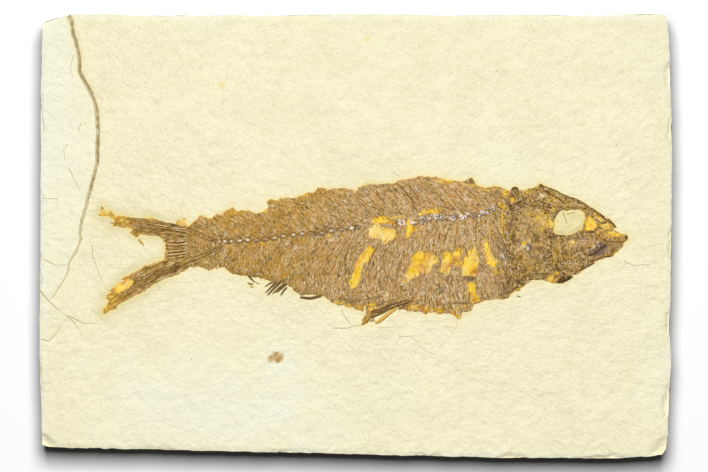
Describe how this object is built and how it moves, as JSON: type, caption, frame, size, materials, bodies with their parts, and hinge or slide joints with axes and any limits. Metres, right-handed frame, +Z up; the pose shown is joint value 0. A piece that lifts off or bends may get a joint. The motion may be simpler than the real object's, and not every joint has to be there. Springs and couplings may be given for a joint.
{
  "type": "fossil fish slab",
  "caption": "Broken-edged slab of cream limestone with a flattened fossil fish bedded in its upper face.",
  "frame": {"origin": "centre of the slab's underside, under the middle of its bounding box", "axes": "+X along the slab towards the fish's snout, +Y towards the fish's back, +Z up out of the fossil face"},
  "size_m": [0.15, 0.1054, 0.0116],
  "materials": {
    "limestone": "matt, fine-grained cream limestone",
    "fossil_bone": "brown mineral film with ochre stain, slight sheen"
  },
  "bodies": {
    "root": {"limestone_slab": "limestone", "fossil_fish": "fossil_bone"}
  },
  "joints": []
}
